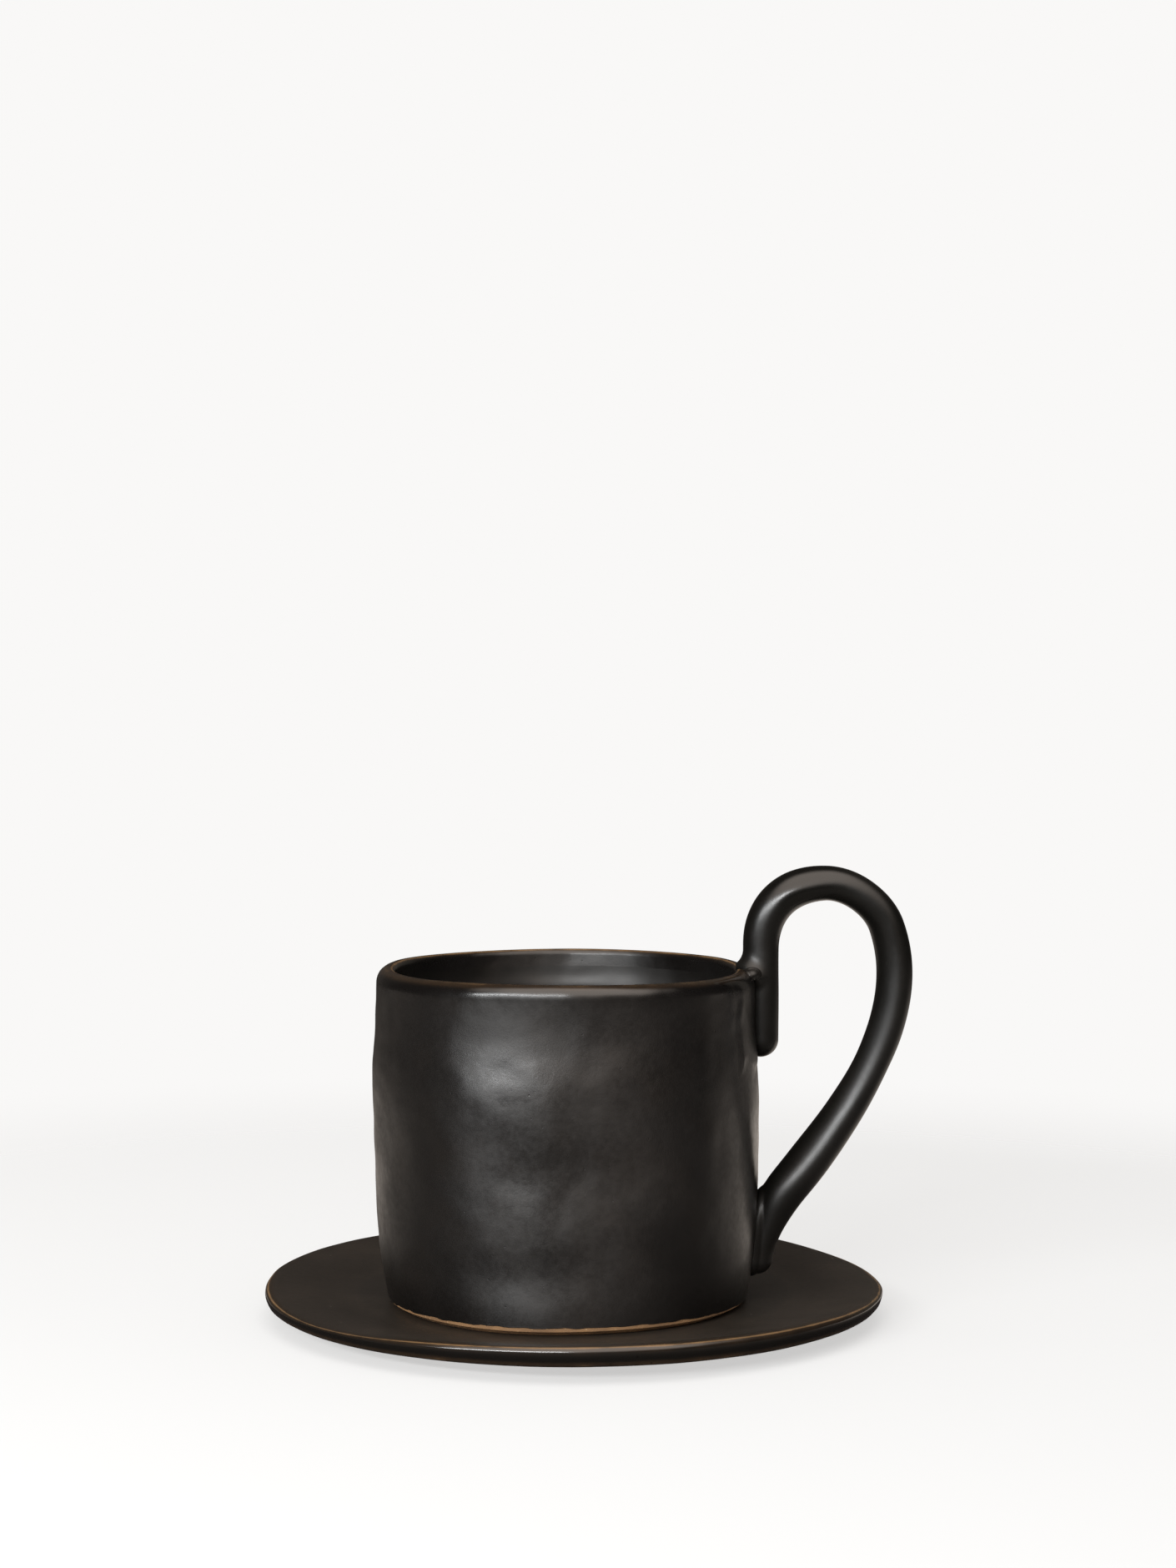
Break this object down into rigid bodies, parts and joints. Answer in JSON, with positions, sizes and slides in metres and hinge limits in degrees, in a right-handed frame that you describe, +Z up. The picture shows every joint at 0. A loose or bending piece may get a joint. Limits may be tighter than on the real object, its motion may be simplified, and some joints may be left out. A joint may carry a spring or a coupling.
{
  "type": "mug with saucer",
  "caption": "Hand-formed black stoneware mug with a tall looped coil handle, standing on a round saucer of the same glaze.",
  "frame": {"origin": "on the table, under the middle of the saucer's foot", "axes": "+Z up, +X towards the handle, +Y away from the side that faces the viewer"},
  "size_m": [0.1561, 0.15, 0.1099],
  "materials": {
    "black_glaze": "satin",
    "bare_clay": "matte"
  },
  "bodies": {
    "saucer": {"saucer_plate": "black_glaze", "saucer_foot": "bare_clay"},
    "mug": {"cup_floor": "bare_clay", "cup_wall": "black_glaze", "handle": "black_glaze", "upper_lute": "black_glaze", "lower_lute": "black_glaze"}
  },
  "joints": [
    {"name": "mug_lift", "type": "slide", "parent": "saucer", "child": "mug", "axis": [0, 0, 1], "range_m": [0, 0.15]}
  ]
}
